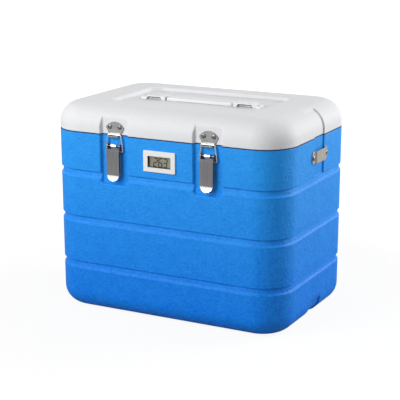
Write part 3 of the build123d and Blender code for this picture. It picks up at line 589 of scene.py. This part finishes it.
# Points of every row and column, with the latch recesses and strap channels sunk into them: a recess is the
# larger of the wall's y and its floor's, which slopes out past a rounded outline; a channel takes its depth
# off along x on the walls and along z where the row is tilted.
def skinSurface(core, normal, rows, opts):
    offset, z, shareX, shareY, rim, tilt, groove = (rows[name][:, None] for name in rowNames)
    x = core[None, :, 0] * shareX + normal[None, :, 0] * offset
    y = core[None, :, 1] * shareY + normal[None, :, 1] * offset
    z = np.broadcast_to(z, x.shape).copy()
    flat = 0.999  # a normal longer than this along x or y is a straight run's
    floorY = -opts["width"] / 2 + opts["recessDepth"]
    halfFloor = opts["recessWidth"] / 2 - opts["recessRun"]
    low = opts["recessBottom"] + opts["recessRun"]
    bend = opts["recessCorner"]
    aside = np.abs(np.abs(x) - opts["latchX"]) - (halfFloor - bend)
    below = (low + bend) - z
    outside = np.hypot(np.maximum(aside, 0), np.maximum(below, 0)) - bend
    wallY = floorY + rim - np.maximum(outside, 0) * opts["recessDepth"] / opts["recessRun"]
    under, behind = opts["recessZone"]
    near = (z > opts["recessBottom"] - under) & (y < floorY + behind)
    soft = opts["recessSoft"] * (rim < 0.01)  # the rim's own rows meet the recess sharply
    y = np.where(near & (normal[None, :, 1] < -flat), softMax(y, wallY, soft), y)
    soft = opts["channelSoft"]
    across = 1 - smoothStep(opts["channelHalf"] - soft, opts["channelHalf"] + soft, np.abs(y))
    up = smoothStep(opts["channelHigh"] - soft, opts["channelHigh"] + soft, z)
    up = up * smoothStep(opts["channelTopX"] - soft, opts["channelTopX"] + soft, np.abs(x))
    down = 1 - smoothStep(opts["channelLow"] - soft, opts["channelLow"] + soft, z)
    depth = across * np.clip(up + down, 0, 1) * np.maximum(opts["channelDepth"] - groove, 0)
    way = np.sign(normal[None, :, 0]) * (np.abs(normal[None, :, 0]) > flat)
    x = x - way * depth * np.cos(tilt)
    z = z - depth * np.sin(tilt)
    return np.stack([x, y, z], axis=2) * mm


def rowGroup(z, offset, shareX=1.0, shareY=1.0, rim=0.0, tilt=0.0, groove=0.0):
    columns = np.broadcast_arrays(offset, z, shareX, shareY, rim, tilt, groove)
    return dict(zip(rowNames, (column.astype(float) for column in columns)))


def stackRows(*groups):
    return {name: np.concatenate([group[name] for group in groups]) for name in rowNames}


# body from the bottom up: the foot runs out from the middle, a quarter circle of bottomRadius, the side at
# radius less its draft and grooves, a quarter circle of edge and the flat rim
def bodyRows(opts):
    at = opts["rows"]
    radius, seam, edge = opts["radius"], opts["seam"], opts["edge"]
    draft = math.tan(math.radians(opts["draft"]))
    share = np.array(at["foot"])
    footInset = (seam - opts["bottomRadius"]) * draft + opts["bottomRadius"]
    foot = rowGroup(0.0, (radius - footInset) * share, shareX=share, tilt=-math.pi / 2)
    angle = np.linspace(0.0, math.pi / 2, at["fillet"])
    turnZ = opts["bottomRadius"] * (1 - np.cos(angle))
    turnInset = (seam - turnZ) * draft + opts["bottomRadius"] * (1 - np.sin(angle))
    fillet = rowGroup(turnZ, radius - turnInset, tilt=-(math.pi / 2 - angle))
    heights = [at["low"], opts["recessBottom"] + np.linspace(*at["recess"]), at["high"]]
    for low in opts["grooves"]:
        top = low + opts["grooveHeight"]
        heights.append(low + np.array(at["grooveLow"]))
        heights.append(top - opts["grooveSteep"] + np.linspace(*at["grooveTop"]))
        heights.append(top + np.array(at["between"]))
    z = np.unique(np.round(np.concatenate(heights), 2))
    below, above = at["margins"]
    z = z[(z > opts["bottomRadius"] + below) & (z < seam - edge - above)]
    z = z[np.concatenate([[True], np.diff(z) > at["nearest"]])]
    groove = grooveDepthAt(z, opts)
    side = rowGroup(z, radius - (seam - z) * draft - groove, groove=groove)
    arc = np.linspace(0.0, math.pi / 2, at["lip"])
    inset = edge * (1 - np.cos(arc))
    lip = rowGroup(seam - edge + edge * np.sin(arc), radius - inset, rim=inset)
    flat = np.array([opts["ledge"], opts["wall"]])
    ring = rowGroup(seam, radius - flat, rim=flat)
    return stackRows(foot, fillet, side, lip, ring)


# lid from the rim up: the flat rim, a quarter circle of edge, a short side, the shoulder's quarter circle,
# the flat top, whose core draws in to the well's, the well's rounded wall and its floor
def lidRows(opts):
    at = opts["rows"]
    radius, base, edge, top = opts["radius"], opts["lidBase"], opts["edge"], opts["lidTop"]
    shoulder, corner, level = opts["shoulder"], opts["wellCorner"], math.pi / 2
    flat = np.array([opts["wall"], opts["ledge"]])
    ring = rowGroup(base, radius - flat, rim=flat)
    arc = np.linspace(math.pi / 2, 0.0, at["lip"])
    inset = edge * (1 - np.cos(arc))
    lip = rowGroup(base + edge - edge * np.sin(arc), radius - inset, rim=inset)
    side = rowGroup(base + np.array(at["lidSide"]), radius)
    angle = np.linspace(0.0, math.pi / 2, at["dome"])
    domeZ = top - shoulder + shoulder * np.sin(angle)
    dome = rowGroup(domeZ, radius - shoulder * (1 - np.cos(angle)), tilt=angle)
    wellX = (opts["wellLength"] / 2 - opts["wellRun"] - corner) / (opts["length"] / 2 - radius)
    wellY = (opts["wellWidth"] / 2 - opts["wellRun"] - corner) / (opts["width"] / 2 - radius)
    rimOffset = corner + opts["wellRun"]
    outer, inner = rimOffset + opts["wellMargin"], corner - opts["wellFloor"]
    floorZ = top - opts["wellDepth"]
    t = np.array(at["top"])
    plain = rowGroup(top, (radius - shoulder) * (1 - t) + outer * t,
                     shareX=1 + (wellX - 1) * t, shareY=1 + (wellY - 1) * t, tilt=level)
    profile = roundedLine([(outer, top), (rimOffset, top), (corner, floorZ), (inner, floorZ)],
                          opts["wellRound"], at["wellWall"])
    wall = rowGroup(profile[:, 1], profile[:, 0], shareX=wellX, shareY=wellY, tilt=level)
    share = np.array(at["wellFloor"])
    floor = rowGroup(floorZ, inner * share, shareX=wellX * share, shareY=wellY, tilt=level)
    return stackRows(ring, lip, side, dome, plain, wall, floor)


# a line through points whose inner corners are rounded by quadratic curves that start reach before them
def roundedLine(points, reaches, steps):
    points = np.array(points, float)
    line = [points[:1]]
    t = np.linspace(0.0, 1.0, steps)[:, None]
    for before, at, after, reach in zip(points[:-2], points[1:-1], points[2:], reaches):
        a = at + (before - at) / np.linalg.norm(before - at) * reach
        b = at + (after - at) / np.linalg.norm(after - at) * reach
        line.append((1 - t) ** 2 * a + 2 * t * (1 - t) * at + t ** 2 * b)
    line.append(points[-1:])
    return np.concatenate(line)


def makeSkin(name, rows, opts, body, slot, node):
    core, normal = skinColumns(opts)
    points = skinSurface(core, normal, rows, opts)
    piece = newPiece(name, points, gridFaces(*points.shape[:2]), body, slot, [node])
    clean(piece, opts["sharp"], opts["merge"])
    solid = piece.modifiers.new("wall", "SOLIDIFY")
    solid.thickness, solid.offset = opts["wall"] * mm, -1.0
    return bake(piece)


# cuts a box-shaped opening out of a piece
def cutBox(piece, low, high):
    low, high = np.array(low), np.array(high)
    corner = np.array([[i, j, k] for k in (0, 1) for j in (0, 1) for i in (0, 1)])
    faces = [(0, 2, 3, 1), (4, 5, 7, 6), (0, 1, 5, 4), (2, 6, 7, 3), (0, 4, 6, 2), (1, 3, 7, 5)]
    mesh = bpy.data.meshes.new("cutter")
    mesh.from_pydata(low + corner * (high - low), [], faces)
    cutter = bpy.data.objects.new("cutter", mesh)
    scene.collection.objects.link(cutter)
    cut = piece.modifiers.new("cut", "BOOLEAN")
    cut.object, cut.operation, cut.solver = cutter, "DIFFERENCE", "EXACT"
    bake(piece)
    bpy.data.objects.remove(cutter)
    return piece


bodySkin = makeSkin("bodySkin", bodyRows(skinSet), skinSet, "body", "body_plastic", "body_shell")
lidSkin = makeSkin("lidSkin", lidRows(skinSet), skinSet, "lid", "lid_plastic", "lid_shell")
caseLow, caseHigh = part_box("thermometer_back_cover")
margin = skinSet["cutMargin"] * mm
frontWall = (-0.13, -0.09)  # y from before the front wall to behind it
cutBox(bodySkin, (caseLow.x - margin, frontWall[0], caseLow.z - margin),
       (caseHigh.x + margin, frontWall[1], caseHigh.z + margin))
for skin in (bodySkin, lidSkin):
    shade(skin, skinSet["sharp"])
    print(skin.name, "faces", len(skin.data.polygons))


# Screws: turned pieces about each CAD screw's own axis, their domed heads sunk by a cross. With r from the
# axis, the dome stands at base + tall * (rim + (1 - rim) * sqrt(1 - (r / wide)^2)); the cross takes off its
# depth where either arm's soft box, |across| < armWidth and |along| < armReach, covers the point.
screwSet = {
    "heads": {"keeper_screws": "Y", "latch_base_screws": "Y", "hinge_lower_screws": "Y",
              "hinge_upper_screws": "Y", "handle_cap_screws": "Z", "strap_bracket_screws": "X"},
    "rim": 0.35, "armWidth": 0.15, "armReach": 0.62, "armDepth": 0.55, "soft": 0.08, "endSoft": 0.2,
    "twist": 0.9,  # radians that each cross is turned past the one before
    "columns": 56, "domeRows": 22, "pole": 0.02, "brim": 0.98, "tip": 0.1, "sharp": 40.0,
}


# the points of each separate part of a mesh, in mm, in the order of the parts' middles
def looseParts(mesh, merge=2e-6):
    work = bmesh.new()
    work.from_mesh(mesh)
    bmesh.ops.remove_doubles(work, verts=work.verts, dist=merge)
    left, parts = set(work.verts), []
    while left:
        group, reached = set(), [left.pop()]
        while reached:
            vert = reached.pop()
            group.add(vert)
            near = {edge.other_vert(vert) for edge in vert.link_edges} & left
            left -= near
            reached += near
        parts.append(np.array([vert.co[:] for vert in group]) / mm)
    work.free()
    return sorted(parts, key=lambda part: tuple(part.mean(axis=0).round(1)))


# rows by columns of points of screw k: its shank, the underside and rim of its head, and its dome
def screwPoints(part, axes, k, opts):
    u, v, t = (part @ axis for axis in axes)
    middleU, middleV = (u.max() + u.min()) / 2, (v.max() + v.min()) / 2
    radius = np.hypot(u - middleU, v - middleV)
    wide = radius.max()
    brim = radius > opts["brim"] * wide
    up = np.sign(t[brim].mean() - (t.max() + t.min()) / 2)
    t = t * up
    base, end = t[brim].min(), t.min()
    shank = radius[t < end + opts["tip"]].max()
    tall = t.max() - base
    angle = np.linspace(0.0, math.pi / 2, opts["domeRows"])
    dome = base + tall * (opts["rim"] + (1 - opts["rim"]) * np.sin(angle))
    r = np.concatenate([[opts["pole"], shank, shank, wide], wide * np.cos(angle[:-1]), [opts["pole"]]])
    h = np.concatenate([[end, end, base, base], dome])
    r, h = r[:, None], h[:, None]
    turn = np.linspace(0.0, 2 * math.pi, opts["columns"], endpoint=False)
    crossX, crossY = r * np.cos(turn), r * np.sin(turn)
    arms = 0.0
    for across, along in ((crossX, crossY), (crossY, crossX)):
        arm = 1 - smoothStep(opts["armWidth"] - opts["soft"], opts["armWidth"] + opts["soft"],
                             np.abs(across) / wide)
        arm = arm * (1 - smoothStep(opts["armReach"] - opts["endSoft"], opts["armReach"],
                                    np.abs(along) / wide))
        arms = np.maximum(arms, arm)
    belowDome = len(r) - len(dome)
    onDome = (np.arange(len(r)) > belowDome)[:, None]
    height = (h - arms * onDome * opts["armDepth"] * tall) * up
    turned = turn + opts["twist"] * k
    u, v = middleU + r * np.cos(turned), middleV + r * np.sin(turned)
    return u[..., None] * axes[0] + v[..., None] * axes[1] + height[..., None] * axes[2]


def makeScrews(node, opts):
    own = "XYZ".index(opts["heads"][node])
    axes = np.roll(np.eye(3), -(own + 1), axis=0)  # two across the screw, and its own last
    n = opts["columns"]
    points, faces, start = [], [], 0
    for k, part in enumerate(looseParts(frame["nodes"][node].data)):
        grid = screwPoints(part, axes, k, opts)
        last = start + (len(grid) - 1) * n
        points.append(grid.reshape(-1, 3))
        faces += gridFaces(len(grid), n, start).tolist()
        faces.append(tuple(range(start + n - 1, start - 1, -1)))
        faces.append(tuple(range(last, last + n)))
        start = last + n
    points = np.concatenate(points) * mm
    piece = newPiece("shown_" + node, points, faces, bodyOf[node], slotOf[node], [node])
    return clean(piece, opts["sharp"], recalc=True)


# fittings: copies of the CAD pieces, with the named ones' edges rounded
copySet = {
    "edges": {  # mm
        "latch_base_left": 0.2, "latch_base_right": 0.2, "lever_left": 0.22, "lever_right": 0.22,
        "keeper_left": 0.25, "keeper_right": 0.25, "strap_bracket_left": 0.25, "strap_bracket_right": 0.25,
        "handle_cap_left": 0.35, "handle_cap_right": 0.35, "handle_band": 0.2, "lid_gasket": 0.4,
    },
    "segments": 2, "sharp": 35.0, "flat": 0.3, "merge": 2e-6, "noLength": 1e-7,
}


# a merged copy of a CAD node, its flat faces whole and its edges rounded, which stands for the node
def softCopy(node, opts):
    edge = opts["edges"].get(node, 0.0)
    mesh = frame["nodes"][node].data.copy()
    piece = bpy.data.objects.new("shown_" + node, mesh)
    mesh.name = piece.name
    scene.collection.objects.link(piece)
    work = bmesh.new()
    work.from_mesh(mesh)
    bmesh.ops.remove_doubles(work, verts=work.verts, dist=opts["merge"])
    bmesh.ops.dissolve_degenerate(work, edges=work.edges, dist=opts["noLength"])
    if edge:
        flat = math.radians(opts["flat"])
        bmesh.ops.dissolve_limit(work, angle_limit=flat, verts=work.verts, edges=work.edges)
    work.to_mesh(mesh)
    work.free()
    if "custom_normal" in mesh.attributes:
        mesh.attributes.remove(mesh.attributes["custom_normal"])
    if edge:
        mesh.shade_smooth()
        bevel = piece.modifiers.new("edge", "BEVEL")
        bevel.width, bevel.segments = edge * mm, opts["segments"]
        bevel.limit_method, bevel.angle_limit = "ANGLE", math.radians(opts["sharp"])
        bevel.use_clamp_overlap, bevel.miter_outer = True, "MITER_ARC"
        bevel.harden_normals = True
        bake(piece)
    else:
        shade(piece, opts["sharp"])
    return settle(piece, bodyOf[node], slotOf[node], [node])


for node in sorted(bodyOf):
    if node not in ("body_shell", "lid_shell") and node not in screwSet["heads"]:
        softCopy(node, copySet)
for node in screwSet["heads"]:
    makeScrews(node, screwSet)
for part in ("lever", "lever_pin"):  # levers get their finish with a painted dark face and a painted highlight tip, pins a darker steel than the rest of their slots
    for side in ("left", "right"):
        bpy.data.objects[f"shown_{part}_{side}"].data.materials[0] = finishes[part]
print("fittings dressed")


# digits of the display, in mm: up to seven bars each, as thin slabs on the panel, and the decimal point
digitSet = {
    "text": "263", "dotAfter": 2, "height": 11.4, "width": 4.9, "pitch": 7.4, "bar": 1.4, "gap": 0.14,
    "lean": 0.10, "thick": 0.12, "clear": 0.02, "start": -10.0, "lift": -0.8,
    "dot": 0.62, "dotLift": 0.1, "dotSides": 6, "ink": (0.012, 0.014, 0.012), "rough": 0.5, "sharp": 30.0,
    "bars": {"0": "abcdef", "1": "bc", "2": "abged", "3": "abgcd", "4": "fgbc",
             "5": "afgcd", "6": "afgedc", "7": "abc", "8": "abcdefg", "9": "abcdfg"},
}


# one bar: a hexagon from a to b, pointed at both ends and a gap short of them
def barOutline(a, b, width, gap):
    a, b = np.array(a, float), np.array(b, float)
    along = (b - a) / np.linalg.norm(b - a)
    across = np.array([-along[1], along[0]]) * width / 2
    a, b = a + along * gap, b - along * gap
    inA, inB = a + along * width / 2, b - along * width / 2
    return np.array([a, inA - across, inB - across, b, inB + across, inA + across])


# flat outlines of all bars, and of the point as a polygon on a circle
def digitOutlines(opts):
    w, h = opts["width"], opts["height"]
    ends = {"a": ((0, h), (w, h)), "b": ((w, h), (w, h / 2)), "c": ((w, h / 2), (w, 0)),
            "d": ((0, 0), (w, 0)), "e": ((0, h / 2), (0, 0)), "f": ((0, h), (0, h / 2)),
            "g": ((0, h / 2), (w, h / 2))}
    outlines = []
    for i, digit in enumerate(opts["text"]):
        place = (opts["start"] + i * opts["pitch"], 0)
        outlines += [barOutline(*ends[k], opts["bar"], opts["gap"]) + place for k in opts["bars"][digit]]
    dotX = opts["start"] + opts["dotAfter"] * opts["pitch"] - (opts["pitch"] - w) / 2
    turn = np.linspace(0, 2 * math.pi, opts["dotSides"] + 1)[:-1]
    dotX, dotZ = dotX + opts["dot"] * np.cos(turn), opts["dotLift"] + opts["dot"] * np.sin(turn)
    return outlines + [np.stack([dotX, dotZ], axis=1)]


# each outline leans by its height, and is a slab between two copies of itself
def makeDigits(opts):
    low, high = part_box("lcd_panel")
    middleX, middleZ = (low.x + high.x) / 2 / mm, (low.z + high.z) / 2 / mm + opts["lift"]
    back = low.y / mm - opts["clear"]
    points, faces, first = [], [], 0
    for outline in digitOutlines(opts):
        n = len(outline)
        x = middleX + outline[:, 0] + outline[:, 1] * opts["lean"]
        z = middleZ + outline[:, 1] - opts["height"] / 2
        for y in (back, back - opts["thick"]):
            points.append(np.stack([x, np.full(n, y), z], axis=1))
        ring = np.arange(n)
        faces.append(tuple(first + ring[::-1]))
        faces.append(tuple(first + n + ring))
        faces += [(first + k, first + (k + 1) % n, first + n + (k + 1) % n, first + n + k) for k in range(n)]
        first += 2 * n
    finishes["digit"] = plainPlastic("digitInk", opts["ink"], opts["rough"])
    piece = newPiece("displayDigits", np.concatenate(points) * mm, faces, "body", "digit")
    return clean(piece, opts["sharp"], recalc=True)


makeDigits(digitSet)
print("digits made")


# floor: near the object it keeps the shadow, further out it fades into the white backdrop
floorSet = {
    "size": 9.0, "colour": (0.36, 0.36, 0.36), "rough": 0.9, "shine": 0.1,
    "backdrop": (1.0, 1.0, 1.0), "white": 1.2, "nearShare": 0.76, "near": 0.35, "far": 1.1,
}


def makeFloor(opts):
    half = opts["size"] / 2
    corners = [(-half, -half, 0), (half, -half, 0), (half, half, 0), (-half, half, 0)]
    mesh = bpy.data.meshes.new("floor")
    mesh.from_pydata(corners, [], [(0, 1, 2, 3)])
    floor = bpy.data.objects.new("floor", mesh)
    scene.collection.objects.link(floor)
    made = Finish("floorPaper", Roughness=opts["rough"], Specular_IOR_Level=opts["shine"])
    made.set(Base_Color=opts["colour"])
    seen = made.math("MINIMUM", made.rays("Camera") + made.rays("Transmission"), 1.0)
    away = made.node("ShaderNodeVectorMath", {"operation": "LENGTH"}, {0: made.place}, output="Value")
    faded = made.clamp(away, opts["near"], opts["far"])
    share = opts["nearShare"] + faded * (1.0 - opts["nearShare"])
    white = made.node("ShaderNodeEmission", {}, {"Color": opts["backdrop"], "Strength": opts["white"]})
    made.cover(white, share * seen)
    mesh.materials.append(made.material)


makeFloor(floorSet)
print("floor made")
